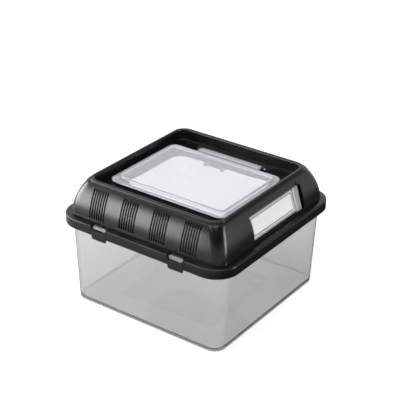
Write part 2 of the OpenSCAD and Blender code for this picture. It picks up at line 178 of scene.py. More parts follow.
def make_satin():
    """Fine grain of a satin moulding: a slightly uneven colour, gloss and surface."""
    tree, inputs, outputs = new_group("satin moulding", [
        ("Colour", "NodeSocketColor", (0.02, 0.02, 0.02, 1.0)),
        ("Worn Colour", "NodeSocketColor", (0.03, 0.03, 0.03, 1.0)),
        ("Roughness", "NodeSocketFloat", 0.3),
        ("Roughness Spread", "NodeSocketFloat", 0.06),
        ("Grain Scale", "NodeSocketFloat", 1800.0),
    ], [("Colour", "NodeSocketColor"), ("Roughness", "NodeSocketFloat"), ("Height", "NodeSocketFloat")])
    place = tree.nodes.new("ShaderNodeTexCoord").outputs["Object"]
    cloud = noise_node(tree, place, scale=22.0, detail=3.0)
    grain = noise_node(tree, place, scale=inputs.outputs["Grain Scale"], detail=2.0)
    tree.links.new(mix_colour(tree, cloud, inputs.outputs["Colour"], inputs.outputs["Worn Colour"]),
                   outputs.inputs["Colour"])
    spread = math_node(tree, "MULTIPLY", math_node(tree, "SUBTRACT", cloud, 0.5),
                       inputs.outputs["Roughness Spread"])
    tree.links.new(math_node(tree, "ADD", inputs.outputs["Roughness"], spread, clamp=True),
                   outputs.inputs["Roughness"])
    tree.links.new(grain, outputs.inputs["Height"])
    return tree


def make_handled():
    """Faint handling marks on clear plastic: a little tint and haze in soft patches."""
    tree, inputs, outputs = new_group("handled clear", [
        ("Colour", "NodeSocketColor", (0.9, 0.9, 0.9, 1.0)),
        ("Marked Colour", "NodeSocketColor", (0.85, 0.85, 0.85, 1.0)),
        ("Roughness", "NodeSocketFloat", 0.02),
        ("Mark Roughness", "NodeSocketFloat", 0.05),
        ("Mark Scale", "NodeSocketFloat", 26.0),
    ], [("Colour", "NodeSocketColor"), ("Roughness", "NodeSocketFloat"), ("Height", "NodeSocketFloat")])
    place = tree.nodes.new("ShaderNodeTexCoord").outputs["Object"]
    patches = noise_node(tree, place, scale=inputs.outputs["Mark Scale"], detail=4.0)
    # Only the higher part of the pattern shows as marks
    marks = math_node(tree, "MULTIPLY", math_node(tree, "SUBTRACT", patches, 0.45), 3.0, clamp=True)
    tree.links.new(mix_colour(tree, marks, inputs.outputs["Colour"], inputs.outputs["Marked Colour"]),
                   outputs.inputs["Colour"])
    tree.links.new(math_node(tree, "ADD", inputs.outputs["Roughness"],
                             math_node(tree, "MULTIPLY", marks, inputs.outputs["Mark Roughness"])),
                   outputs.inputs["Roughness"])
    tree.links.new(noise_node(tree, place, scale=9.0, detail=1.0), outputs.inputs["Height"])
    return tree


SATIN = make_satin()
HANDLED = make_handled()


def place_group(material, group, values):
    """Places a shader group in a material with the material's own values."""
    node = material.node_tree.nodes.new("ShaderNodeGroup")
    node.node_tree = group
    for label, value in values.items():
        node.inputs[label].default_value = value
    return node


def base_material(name):
    """A new material and its Principled shader."""
    material = bpy.data.materials.new(name)
    material.use_nodes = True
    return material, material.node_tree.nodes["Principled BSDF"]


def bump(material, height, shader, strength, distance):
    """Feeds a height to the shader's normal. The distance is in metres."""
    node = material.node_tree.nodes.new("ShaderNodeBump")
    node.inputs["Strength"].default_value = strength
    node.inputs["Distance"].default_value = distance
    material.node_tree.links.new(height, node.inputs["Height"])
    material.node_tree.links.new(node.outputs["Normal"], shader.inputs["Normal"])


# Black faces this nearly square to X, and this near the box's middle plane, are painted in deep shade,
# black and without gloss: the sides of slots, and also those of latches, ears, hinge rings and the collar
ACROSS = 0.95
SLOTS_END = 75.0


def black_plastic(name, colour, worn, roughness):
    """Satin black, with painted deep shade: the sides of slots and of some small parts are painted black.
    """
    material, shader = base_material(name)
    tree = material.node_tree
    links = tree.links
    group = place_group(material, SATIN, {
        "Colour": (*colour, 1), "Worn Colour": (*worn, 1), "Roughness": roughness})
    place = tree.nodes.new("ShaderNodeTexCoord")
    along_x = []
    for output in ("Normal", "Object"):
        parts = tree.nodes.new("ShaderNodeSeparateXYZ")
        links.new(place.outputs[output], parts.inputs[0])
        along_x.append(math_node(tree, "ABSOLUTE", parts.outputs["X"], 0.0))
    facing, distance = along_x
    # Painted deep shade: this mask turns the sides of slots black and without gloss
    shade = math_node(tree, "MULTIPLY", math_node(tree, "GREATER_THAN", facing, ACROSS),
                      math_node(tree, "LESS_THAN", distance, SLOTS_END * MM))
    links.new(mix_colour(tree, shade, group.outputs["Colour"], (0, 0, 0, 1)), shader.inputs["Base Color"])
    links.new(shade, shader.inputs["Metallic"])
    links.new(group.outputs["Roughness"], shader.inputs["Roughness"])
    bump(material, group.outputs["Height"], shader, strength=0.08, distance=0.0001)
    shader.inputs["Specular IOR Level"].default_value = 0.4
    return material


def clear_plastic(name, colour, marked, roughness, mark_roughness, transmission, painted_edge_shade,
                  depth_tint=0):
    """Clear plastic whose shadow stays light: shadow rays see it as a thin tint.

    A painted edge shade darkens its slanting edges, and a depth tint darkens it where light runs far
    inside.
    """
    material, shader = base_material(name)
    tree = material.node_tree
    links = tree.links
    output = tree.nodes["Material Output"]
    group = place_group(material, HANDLED, {
        "Colour": (*colour, 1), "Marked Colour": (*marked, 1),
        "Roughness": roughness, "Mark Roughness": mark_roughness})
    # Painted shade: the base colour turns near black where the surface slants away from the view
    slant = tree.nodes.new("ShaderNodeLayerWeight")
    slant.inputs["Blend"].default_value = 0.5
    edge = math_node(tree, "POWER", slant.outputs["Facing"], 5.0)
    links.new(mix_colour(tree, math_node(tree, "MULTIPLY", edge, painted_edge_shade),
                         group.outputs["Colour"], (0.02, 0.02, 0.022, 1)), shader.inputs["Base Color"])
    links.new(group.outputs["Roughness"], shader.inputs["Roughness"])
    bump(material, group.outputs["Height"], shader, strength=0.05, distance=0.0004)
    shader.inputs["IOR"].default_value = 1.5
    shader.inputs["Transmission Weight"].default_value = transmission
    see_through = tree.nodes.new("ShaderNodeBsdfTransparent")
    see_through.inputs["Color"].default_value = (0.86, 0.87, 0.88, 1.0)
    mix = tree.nodes.new("ShaderNodeMixShader")
    path = tree.nodes.new("ShaderNodeLightPath")
    links.new(path.outputs["Is Shadow Ray"], mix.inputs[0])
    links.new(shader.outputs[0], mix.inputs[1])
    links.new(see_through.outputs[0], mix.inputs[2])
    links.new(mix.outputs[0], output.inputs["Surface"])
    if depth_tint:
        inside = tree.nodes.new("ShaderNodeVolumeAbsorption")
        inside.inputs["Color"].default_value = (0.72, 0.73, 0.73, 1.0)
        inside.inputs["Density"].default_value = depth_tint
        links.new(inside.outputs[0], output.inputs["Volume"])
    return material


def make_card():
    """Blank label card: pale fibres and one thin printed border line."""
    material, shader = base_material("label card")
    tree = material.node_tree
    links = tree.links
    group = place_group(material, SATIN, {
        "Colour": (0.86, 0.86, 0.84, 1), "Worn Colour": (0.9, 0.9, 0.88, 1),
        "Roughness": 0.75, "Grain Scale": 900.0})
    # The card's middle and the border's half sizes, to the rear and up the slope, in metres
    middle_y = (SLOPE_Y + sum(CARD_ALONG) / 2) * MM
    middle_up = (SLOPE_Z * math.cos(TILT) - SLOPE_X * math.sin(TILT) + sum(CARD_RISE) / 2) * MM
    half_y = ((CARD_ALONG[1] - CARD_ALONG[0]) / 2 - BORDER_INSET) * MM
    half_up = ((CARD_RISE[1] - CARD_RISE[0]) / 2 - BORDER_INSET) * MM
    # Distance from the border line
    place = tree.nodes.new("ShaderNodeSeparateXYZ")
    links.new(tree.nodes.new("ShaderNodeTexCoord").outputs["Object"], place.inputs[0])
    along = math_node(tree, "ABSOLUTE", math_node(tree, "SUBTRACT", place.outputs["Y"], middle_y), 0.0)
    upward = math_node(tree, "SUBTRACT", math_node(tree, "MULTIPLY", place.outputs["Z"], math.cos(TILT)),
                       math_node(tree, "MULTIPLY", place.outputs["X"], math.sin(TILT)))
    upward = math_node(tree, "ABSOLUTE", math_node(tree, "SUBTRACT", upward, middle_up), 0.0)
    edge = math_node(tree, "MAXIMUM", math_node(tree, "SUBTRACT", along, half_y),
                     math_node(tree, "SUBTRACT", upward, half_up))
    line = math_node(tree, "LESS_THAN", math_node(tree, "ABSOLUTE", edge, 0.0), BORDER_HALF_LINE * MM)
    links.new(mix_colour(tree, line, group.outputs["Colour"], (0.02, 0.02, 0.02, 1)),
              shader.inputs["Base Color"])
    links.new(group.outputs["Roughness"], shader.inputs["Roughness"])
    bump(material, group.outputs["Height"], shader, strength=0.1, distance=0.0001)
    shader.inputs["Specular IOR Level"].default_value = 0.3
    return material


BLACK_LID = black_plastic(
    "black lid", colour=(0.003, 0.003, 0.0028), worn=(0.005, 0.005, 0.0046), roughness=0.25)
BLACK_LATCH = black_plastic(
    "black latch", colour=(0.004, 0.004, 0.004), worn=(0.006, 0.006, 0.006), roughness=0.25)
CLEAR_TUB = clear_plastic(
    "clear tub", colour=(0.98, 0.98, 0.975), marked=(0.96, 0.96, 0.955), roughness=0.0,
    mark_roughness=0.03, transmission=1.0, painted_edge_shade=1.0, depth_tint=400)
CLEAR_DOOR = clear_plastic(
    "clear door", colour=(0.75, 0.75, 0.79), marked=(0.73, 0.73, 0.775), roughness=0.02,
    mark_roughness=0.04, transmission=0.85, painted_edge_shade=0.4)
CLEAR_COVER = clear_plastic(
    "clear cover", colour=(0.97, 0.97, 0.97), marked=(0.95, 0.95, 0.95), roughness=0.01,
    mark_roughness=0.03, transmission=0.92, painted_edge_shade=0.9)
LABEL_CARD = make_card()


# ---------------------------------------------------------------- shapes

def make_object(name, points, faces, material, matrix=None):
    """A mesh piece from points in millimetres, closed and with its normals outward."""
    if matrix:
        points = [matrix @ Vector(p) for p in points]
    mesh = bpy.data.meshes.new(name)
    mesh.from_pydata([[c * MM for c in p] for p in points], [], faces)
    work = bmesh.new()
    work.from_mesh(mesh)
    bmesh.ops.remove_doubles(work, verts=work.verts, dist=TOUCHING)
    bmesh.ops.recalc_face_normals(work, faces=work.faces)
    work.to_mesh(mesh)
    work.free()
    mesh.materials.append(material)
    obj = bpy.data.objects.new(name, mesh)
    scene.collection.objects.link(obj)
    return obj


def rounded_loop(half_x, half_y, radius, z, centre_y=0.0):
    """Points round a rectangle with round corners, seen from above."""
    points = []
    for quarter in range(4):
        side_x = 1 if quarter in (0, 3) else -1
        side_y = 1 if quarter < 2 else -1
        for step in range(CORNER_STEPS + 1):
            angle = math.radians(90 * (quarter + step / CORNER_STEPS))
            points.append((side_x * (half_x - radius) + radius * math.cos(angle),
                           centre_y + side_y * (half_y - radius) + radius * math.sin(angle), z))
    return points


def square(half, radius, z, soft=0.0):
    """A station of a section that is square and centred on the box."""
    return half, half, radius, z, 0, soft


def around(middle, half):
    """Limits at the same distance to both sides of a middle."""
    return middle - half, middle + half


def soften(stations, closed):
    """Rounds the corners of a section. A station is (half x, half y, radius, z, centre y, softness).

    A rounded corner takes less than half of each side, so that two of them never meet.
    """
    softened = []
    for i, station in enumerate(stations):
        here, reach = station[:5], station[5]
        if reach == 0 or (not closed and i in (0, len(stations) - 1)):
            softened.append(here)
            continue
        ends = []
        for other in (stations[i - 1][:5], stations[(i + 1) % len(stations)][:5]):
            run = math.hypot(other[0] - here[0], other[3] - here[3])
            share = min(reach / run, LARGEST_SHARE)
            ends.append([p + (q - p) * share for p, q in zip(here, other)])
        for k in range(SOFT_STEPS + 1):
            t = k / SOFT_STEPS
            softened.append([(1 - t) ** 2 * p + 2 * t * (1 - t) * q + t * t * r
                             for p, q, r in zip(ends[0], here, ends[1])])
    return softened


def loft(name, stations, material, closed=False, matrix=None):
    """A closed shell through rounded loops: a ring of them, or a chain with a flat cap at each end."""
    loops = [rounded_loop(*s) for s in soften(stations, closed)]
    count = len(loops[0])
    points = [p for loop in loops for p in loop]
    faces = []
    for k in range(len(loops) if closed else len(loops) - 1):
        a, b = k * count, (k + 1) % len(loops) * count
        faces += [(a + i, b + i, b + (i + 1) % count, a + (i + 1) % count) for i in range(count)]
    if not closed:
        faces += [tuple(range(count)), tuple(range(len(points) - count, len(points)))]
    return make_object(name, points, faces, material, matrix)


def slab(name, x, y, z, radius, soft, material, matrix=None):
    """A plate between pairs of limits, with round corners in plan and soft edges."""
    half_x, half_y = (x[1] - x[0]) / 2, (y[1] - y[0]) / 2
    inset = min(2 * soft, LARGEST_SHARE * (z[1] - z[0]), radius / 2)
    shift = Matrix.Translation((x[0] + half_x, y[0] + half_y, 0))
    cap = (half_x - inset, half_y - inset, radius - inset)
    stations = [(*cap, z[0], 0, 0), (half_x, half_y, radius, z[0], 0, soft),
                (half_x, half_y, radius, z[1], 0, soft), (*cap, z[1], 0, 0)]
    return loft(name, stations, material, matrix=matrix @ shift if matrix else shift)


def box(name, x, y, z, material=None, matrix=None):
    """A plain block between pairs of limits, of the lid's plastic unless told otherwise."""
    points = [(px, py, pz) for px in x for py in y for pz in z]
    faces = [(0, 1, 3, 2), (4, 6, 7, 5), (0, 4, 5, 1), (2, 3, 7, 6), (0, 2, 6, 4), (1, 5, 7, 3)]
    return make_object(name, points, faces, material or BLACK_LID, matrix)


def rod(name, x, y, z, radius, material, soft=0.0, steps=ROD_STEPS, matrix=None):
    """A bar along X with a round section, from x[0] to x[1]."""
    rings = [(x[0], radius - soft), (x[0] + soft, radius), (x[1] - soft, radius), (x[1], radius - soft)]
    if soft == 0:
        rings = [rings[0], rings[-1]]
    angles = [2 * math.pi * k / steps for k in range(steps)]
    points = [(px, y + r * math.cos(a), z + r * math.sin(a)) for px, r in rings for a in angles]
    faces = [(a * steps + k, (a + 1) * steps + k, (a + 1) * steps + (k + 1) % steps,
              a * steps + (k + 1) % steps) for a in range(len(rings) - 1) for k in range(steps)]
    faces += [tuple(range(steps)), tuple(range(len(points) - steps, len(points)))]
    return make_object(name, points, faces, material, matrix)


def bake(obj):
    """Replaces an object's mesh by what its modifiers make of it."""
    graph = bpy.context.evaluated_depsgraph_get()
    mesh = bpy.data.meshes.new_from_object(obj.evaluated_get(graph))
    obj.modifiers.clear()
    old = obj.data
    obj.data = mesh
    bpy.data.meshes.remove(old)


def combine(obj, operation, tools):
    """Joins tools to a piece or cuts them out of it."""
    for tool in tools:
        modifier = obj.modifiers.new(operation, "BOOLEAN")
        modifier.operation = operation
        modifier.solver = "EXACT"
        modifier.object = tool
        bake(obj)
        bpy.data.objects.remove(tool)


def finish_piece(obj):
    """Cleans a finished piece and shades it smooth, with its true edges kept sharp."""
    work = bmesh.new()
    work.from_mesh(obj.data)
    bmesh.ops.remove_doubles(work, verts=work.verts, dist=2 * TOUCHING)
    bmesh.ops.dissolve_degenerate(work, edges=work.edges, dist=TOUCHING)
    work.to_mesh(obj.data)
    work.free()
    for polygon in obj.data.polygons:
        polygon.use_smooth = True
    obj.data.set_sharp_from_angle(angle=math.radians(SHARP_ANGLE))


# ---------------------------------------------------------------- what repeats

def comb_tree():
    """Equal bars side by side along X: a row of cutters for slots or grip grooves."""
    tree = bpy.data.node_groups.new("comb", "GeometryNodeTree")
    face = tree.interface
    face.new_socket(name="Geometry", in_out="OUTPUT", socket_type="NodeSocketGeometry")
    face.new_socket(name="Count", in_out="INPUT", socket_type="NodeSocketInt")
    face.new_socket(name="Pitch", in_out="INPUT", socket_type="NodeSocketFloat")
    face.new_socket(name="Start", in_out="INPUT", socket_type="NodeSocketVector")
    face.new_socket(name="Size", in_out="INPUT", socket_type="NodeSocketVector")
    face.new_socket(name="Material", in_out="INPUT", socket_type="NodeSocketMaterial")
    nodes, links = tree.nodes, tree.links
    given = nodes.new("NodeGroupInput")
    step = nodes.new("ShaderNodeCombineXYZ")
    line = nodes.new("GeometryNodeMeshLine")
    bar = nodes.new("GeometryNodeMeshCube")
    spread = nodes.new("GeometryNodeInstanceOnPoints")
    real = nodes.new("GeometryNodeRealizeInstances")
    paint = nodes.new("GeometryNodeSetMaterial")
    result = nodes.new("NodeGroupOutput")
    links.new(given.outputs["Pitch"], step.inputs["X"])
    links.new(given.outputs["Count"], line.inputs["Count"])
    links.new(given.outputs["Start"], line.inputs["Start Location"])
    links.new(step.outputs[0], line.inputs["Offset"])
    links.new(given.outputs["Size"], bar.inputs["Size"])
    links.new(line.outputs["Mesh"], spread.inputs["Points"])
    links.new(bar.outputs["Mesh"], spread.inputs["Instance"])
    links.new(spread.outputs["Instances"], real.inputs["Geometry"])
    links.new(real.outputs["Geometry"], paint.inputs["Geometry"])
    links.new(given.outputs["Material"], paint.inputs["Material"])
    links.new(paint.outputs["Geometry"], result.inputs["Geometry"])
    return tree


COMB = comb_tree()


def comb(name, count, pitch, middle, size, material, matrix=None):
    """A row of bars centred on a point, as a plain mesh."""
    obj = bpy.data.objects.new(name, bpy.data.meshes.new(name))
    scene.collection.objects.link(obj)
    modifier = obj.modifiers.new("comb", "NODES")
    modifier.node_group = COMB
    start = (middle[0] - pitch * (count - 1) / 2, middle[1], middle[2])
    values = {"Count": count, "Pitch": pitch * MM, "Start": [c * MM for c in start],
              "Size": [c * MM for c in size], "Material": material}
    for item in COMB.interface.items_tree:
        if item.in_out == "INPUT":
            modifier[item.identifier] = values[item.name]
    bake(obj)
    if matrix:
        shifted = matrix.copy()
        shifted.translation *= MM
        obj.data.transform(shifted)
    return obj


# ---------------------------------------------------------------- lid

# Air slots: groups side by side in the front and in the rear wall
AIR_GROUPS, AIR_GROUP_PITCH = 4, 37.3
AIR_SLOTS, AIR_PITCH = 7, 2.88
AIR_SLOT_SIZE = (1.8, 19.0, 28.5)
AIR_Y, AIR_Z = 88.3, 116.55

# Finer slots in the floor of the recess: a row before the door and a short one at each rear corner
FLOOR_PITCH, FLOOR_SLOT, FLOOR_CUT = 2.8, 1.4, 4.2
FLOOR_Z = RECESS - 1.1
FRONT_SLOTS, FRONT_Y, FRONT_LENGTH = 52, -66.2, 16.0
REAR_SLOTS, REAR_X, REAR_Y, REAR_LENGTH = 10, 58.0, 63.2, 22.0

# The skirt thins to this width at its lower edge, over this height
SKIRT_EDGE, SKIRT_THIN = 1.0, 1.2
# What stands on a wall is sunk this deep into it, and is this much narrower than a round that it
# carries, so that no faces lie flush
SUNK, SLIMMER = 0.4, 0.02
# Cutters start below the rim here, and end outside it
BELOW_RIM, OUTSIDE = RIM_LOW - 1, 104.0
# Bore through both ears, open mouths of the hinge rings, and notches and bores for the latches
EAR_BORE_HALF = 43.0
MOUTH_HALF, MOUTH_LOW = 1.3, 86.0
NOTCH_Y, NOTCH_TOP = (-103.5, -95.3), 100.2
STUB_BORE_HALF = 11.0

# Bosses that thicken the rim beside each latch
BOSS_X, BOSS_HALF = 10.24, 1.1
BOSS_Y, BOSS_Z = (-102.4, -99.6), (94.32, 98.4)

# Label's seat and pocket, and the dimple above the finger gap: limits on the slope
SEAT_OUT, SEAT_ALONG, SEAT_RISE = (-4.8, -1.5), (-46.4, 50.2), (-15.6, 15.6)
POCKET_OUT, POCKET_ALONG, POCKET_RISE = (-2.6, 3.0), (-43.8, 47.6), (-13.0, 13.0)
DIMPLE_ALONG, DIMPLE_RISE = 41.5, 15.0
DIMPLE_R, DIMPLE_FLOOR = 2.0, -1.0
PIP_R = 0.8


def dome_half(z, inward=0.0):
    """Half width of the dome's side wall at a height."""
    return DOME_CENTRE + math.sqrt(DOME_CURVE ** 2 - (z - DOME_CENTRE_Z) ** 2) - inward


def lid_section():
    """The lid's wall, once round: rim, dome, crest, recess, collar and back down the inside."""
    recess_half, recess_corner = CREST_HALF - CREST_WIDTH, CREST_CORNER - CREST_WIDTH
    collar = [size + COLLAR_WALL for size in OPENING]
    below = RECESS - WALL
    rise = DOME_TOP - RIM_TOP
    section = [square(RIM_HALF, RIM_CORNER, RIM_LOW, soft=0.4),
               square(RIM_HALF, RIM_CORNER, RIM_TOP, soft=1.6)]
    for k in range(WALL_STEPS):
        z = RIM_TOP + rise * k / WALL_STEPS
        section.append(square(dome_half(z), DOME_CORNER, z))
    section += [square(dome_half(DOME_TOP), DOME_CORNER, DOME_TOP, soft=0.6),
                square(CREST_HALF, CREST_CORNER, DOME_TOP, soft=0.4),
                square(CREST_HALF, CREST_CORNER, LID_TOP, soft=1.7),
                square(recess_half, recess_corner, LID_TOP, soft=1.7),
                square(recess_half, recess_corner, RECESS, soft=0.8),
                (*collar, RECESS, OPENING_Y, 0.3), (*collar, COLLAR_TOP, OPENING_Y, 0.3),
                (*OPENING, COLLAR_TOP, OPENING_Y, 0.3), (*OPENING, below, OPENING_Y, 0.3),
                square(recess_half + WALL, recess_corner + WALL, below, soft=0.4),
                square(recess_half + WALL, recess_corner + WALL, DOME_TOP - WALL, soft=0.3)]
    for k in range(WALL_STEPS, -1, -1):
        z = RIM_TOP - WALL + rise * k / WALL_STEPS
        section.append(square(dome_half(z, SLOT_DEPTH), DOME_CORNER - SLOT_DEPTH, z))
    section += [square(RIM_HALF - WALL, RIM_CORNER - WALL, RIM_TOP - WALL, soft=0.4),
                square(RIM_HALF - WALL, RIM_CORNER - WALL, RIM_LOW + SKIRT_THIN, soft=0.4),
                square(RIM_HALF - SKIRT_EDGE, RIM_CORNER - SKIRT_EDGE, RIM_LOW, soft=0.2)]
    return section


def lid_fittings():
    """What stands on the lid's wall: ears, hinge rings, latch bosses and the seat behind the label."""
    foot_half, web_half = EAR_R - SLIMMER, RING_R - SLIMMER
    fittings = []
    for s in (-1, 1):
        ear = sorted((s * EAR_IN, s * EAR_OUT))
        fittings.append(rod("ear", ear, STUB_Y, STUB_Z, EAR_R, BLACK_LID, soft=0.25))
        fittings.append(box("ear foot", ear, around(STUB_Y, foot_half), (RECESS - SUNK, STUB_Z)))
        ring = around(s * CLIP_X, RING_HALF)
        fittings.append(rod("hinge ring", ring, HINGE_Y, HINGE_Z, RING_R, BLACK_LID, soft=0.3))
        web_z = (HINGE_Z, RIM_TOP - WALL + SUNK)
        fittings.append(box("ring web", ring, around(HINGE_Y, web_half), web_z))
        for t in (-1, 1):
            boss_x = around(s * CLIP_X + t * BOSS_X, BOSS_HALF)
            fittings.append(box("latch boss", boss_x, BOSS_Y, BOSS_Z))
    fittings.append(box("label seat", SEAT_OUT, SEAT_ALONG, SEAT_RISE, matrix=ON_SLOPE))
    return fittings


def lid_slots():
    """Cutters for the air slots in the walls and the finer slots in the recess's floor."""
    slots = []
    for s in (-1, 1):
        for g in range(AIR_GROUPS):
            middle = ((g - (AIR_GROUPS - 1) / 2) * AIR_GROUP_PITCH, s * AIR_Y, AIR_Z)
            slots.append(comb("air slots", AIR_SLOTS, AIR_PITCH, middle, AIR_SLOT_SIZE, BLACK_LID))
    slots.append(comb("floor slots", FRONT_SLOTS, FLOOR_PITCH, (0, FRONT_Y, FLOOR_Z),
                      (FLOOR_SLOT, FRONT_LENGTH, FLOOR_CUT), BLACK_LID))
    for s in (-1, 1):
        slots.append(comb("floor slots", REAR_SLOTS, FLOOR_PITCH, (s * REAR_X, REAR_Y, FLOOR_Z),
                          (FLOOR_SLOT, REAR_LENGTH, FLOOR_CUT), BLACK_LID))
    return slots


def lid_bores():
    """Cutters for the ears, for the hinge rings with their open mouths, and for the latches."""
    bores = [rod("ear bores", around(0, EAR_BORE_HALF), STUB_Y, STUB_Z, PIN_BORE_R, BLACK_LID)]
    for s in (-CLIP_X, CLIP_X):
        pin_x = around(s, PIN_HALF)
        bores.append(rod("ring bore", pin_x, HINGE_Y, HINGE_Z, PIN_BORE_R, BLACK_LID))
        bores.append(box("ring mouth", pin_x, around(HINGE_Y, MOUTH_HALF), (MOUTH_LOW, HINGE_Z)))
        bores.append(box("latch notch", around(s, LATCH_ROOM_HALF), NOTCH_Y, (BELOW_RIM, NOTCH_TOP)))
        bores.append(rod("stub bore", around(s, STUB_BORE_HALF), LATCH_Y, LATCH_Z, LATCH_BORE_R, BLACK_LID))
    return bores


def label_pocket():
    """Cutters for the label's pocket and for the dimple with a pip above the finger gap."""
    pocket = box("label pocket", POCKET_OUT, POCKET_ALONG, POCKET_RISE, matrix=ON_SLOPE)
    dimple = rod("dimple", (DIMPLE_FLOOR, 3), DIMPLE_ALONG, DIMPLE_RISE, DIMPLE_R, BLACK_LID,
                 matrix=ON_SLOPE)
    pip = rod("pip", (DIMPLE_FLOOR - 1, 0), DIMPLE_ALONG, DIMPLE_RISE, PIP_R, BLACK_LID, soft=0.3,
              steps=THIN_ROD_STEPS, matrix=ON_SLOPE)
    combine(dimple, "DIFFERENCE", [pip])
    return [pocket, dimple]


def build_lid():
    """The black lid, in one moulding."""
    lid = loft("lid_shell", lid_section(), BLACK_LID, closed=True)
    # Room behind the rim for the hinge cheeks
    combine(lid, "DIFFERENCE", [
        box("cheek room", around(s, CHEEK_ROOM_HALF), (LIP_HALF, OUTSIDE), (BELOW_RIM, RIM_TOP - WALL))
        for s in (-CLIP_X, CLIP_X)])
    combine(lid, "UNION", lid_fittings())
    combine(lid, "DIFFERENCE", lid_slots() + lid_bores() + label_pocket())
    return lid


lid = build_lid()
finish_piece(lid)
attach(lid, "lid_body")
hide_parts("lid")


# ---------------------------------------------------------------- tub

# Half width and corner radius at the foot. The wall leans outward up to the lip.
FOOT_HALF, FOOT_CORNER = 90.5, 13.0
FLARE = 4.45
FLOOR_TOP = 2.4
# The wall's thickness at the floor and at the lip
TUB_WALL_LOW, TUB_WALL_TOP = 2.1, 2.05
# Tongues that show between the arms of the latches
TONGUE_HALF, TONGUE_BACK, TONGUE_TOP = 7.7, -95.6, 98.6
# Room for the lid's hinge rings behind the wall, and the roots that join the cheeks to it
RING_ROOM_Y, RING_ROOM_Z = (95.52, 101), (92, 98)
ROOT_FRONT, ROOT_Z = 94.0, (87.1, 96.0)


def build_tub():
    """The clear tub, from the foot up to the lip, and down the inside to its floor."""
    def wall(step_out, z, soft):
        """A station this far outside the foot."""
        return square(FOOT_HALF + step_out, FOOT_CORNER + step_out, z, soft)

    tub = loft("tub_shell", [
        square(60, 8, 0), wall(0, 0, 1.9), wall(FLARE, LIP_LOW, 0.5),
        square(LIP_HALF, LIP_CORNER, LIP_LOW, soft=0.4), square(LIP_HALF, LIP_CORNER, TUB_TOP, soft=0.6),
        wall(FLARE - TUB_WALL_TOP, TUB_TOP, 0.5), wall(-TUB_WALL_LOW, FLOOR_TOP, 3.2),
        square(55, 6, FLOOR_TOP)], CLEAR_TUB)
    combine(tub, "UNION", [
        slab("tongue", around(s, TONGUE_HALF), (-LIP_HALF, TONGUE_BACK), (LIP_LOW, TONGUE_TOP),
             radius=0.6, soft=0.3, material=CLEAR_TUB) for s in (-CLIP_X, CLIP_X)])
    combine(tub, "DIFFERENCE", [
        box("ring room", around(s, RING_ROOM_HALF), RING_ROOM_Y, RING_ROOM_Z, CLEAR_TUB)
        for s in (-CLIP_X, CLIP_X)])
    hinges = []
    for s in (-CLIP_X, CLIP_X):
        for t in (-1, 1):
            cheek = sorted((s + t * RING_ROOM_HALF, s + t * CHEEK_OUT))
            hinges.append(rod("cheek", cheek, HINGE_Y, HINGE_Z, RING_R, CLEAR_TUB, soft=0.2))
            hinges.append(box("cheek root", cheek, (ROOT_FRONT, HINGE_Y), ROOT_Z, CLEAR_TUB))
        hinges.append(rod("pin", around(s, PIN_HALF), HINGE_Y, HINGE_Z, PIN_R, CLEAR_TUB))
    combine(tub, "UNION", hinges)
    return tub


tub = build_tub()
finish_piece(tub)
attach(tub, "tub_body")
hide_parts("tub")


# ---------------------------------------------------------------- feeding door

# Half x, half y and corner radius of the raised panel and of the flange round it
PANEL, PANEL_Y = (65, 47.5, 6), -2.5
FLANGE, FLANGE_Y = (69.5, 54, 8.5), -4
DOOR_TOP, FLANGE_TOP = 132.0, 129.5
DOOR_WALL = 1.8
# Hinge tab, with a rounded rear edge. It lies this much inside the flange's faces.
TAB_HALF, TAB_FRONT, TAB_EDGE_R = 38, 48.5, 2.2
TAB_INSIDE = 0.05


def build_door():
    """The clear feeding door: a raised panel, its flange, and a hinge tab with two stubs."""
    cap = (45, 30, 3)
    hollow = [size - DOOR_WALL for size in PANEL]
    flange_low, hollow_top = FLANGE_TOP - DOOR_WALL, DOOR_TOP - DOOR_WALL
    door = loft("feeding_door_panel", [
        (*cap, DOOR_TOP, PANEL_Y, 0), (*PANEL, DOOR_TOP, PANEL_Y, 0.9),
        (*PANEL, FLANGE_TOP, PANEL_Y, 0.4), (*FLANGE, FLANGE_TOP, FLANGE_Y, 0.5),
        (*FLANGE, flange_low, FLANGE_Y, 0.4), (*hollow, flange_low, PANEL_Y, 0.3),
        (*hollow, hollow_top, PANEL_Y, 0.5), (*cap, hollow_top, PANEL_Y, 0)], CLEAR_DOOR)
    tab_x, tab_z = (-TAB_HALF, TAB_HALF), (flange_low + TAB_INSIDE, FLANGE_TOP - TAB_INSIDE)
    combine(door, "UNION", [
        box("hinge tab", tab_x, (TAB_FRONT, STUB_Y), tab_z, CLEAR_DOOR),
        rod("tab edge", tab_x, STUB_Y, STUB_Z, TAB_EDGE_R, CLEAR_DOOR, soft=0.3),
        rod("stubs", (-EAR_OUT, EAR_OUT), STUB_Y, STUB_Z, PIN_R, CLEAR_DOOR, soft=0.2)])
    return door


door = build_door()
finish_piece(door)
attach(door, "door_body")
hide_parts("feeding_door")


# ---------------------------------------------------------------- latches

# Pull tab: its heights, and its thickness set back from the crossbar's front
PULL_HEIGHT, PULL_DEPTH = (84.5, 90.2), (100.9, 101.6)
# Arms. They lie just inside the crossbar's faces, so that the joined piece stays closed.
ARM_HEIGHT, ARM_IN, ARM_INSIDE = (93.6, 97.45), 8.0, 0.1
# Ends of each stub, from the latch's middle
STUB_FROM, STUB_TO = 8.6, 10.9


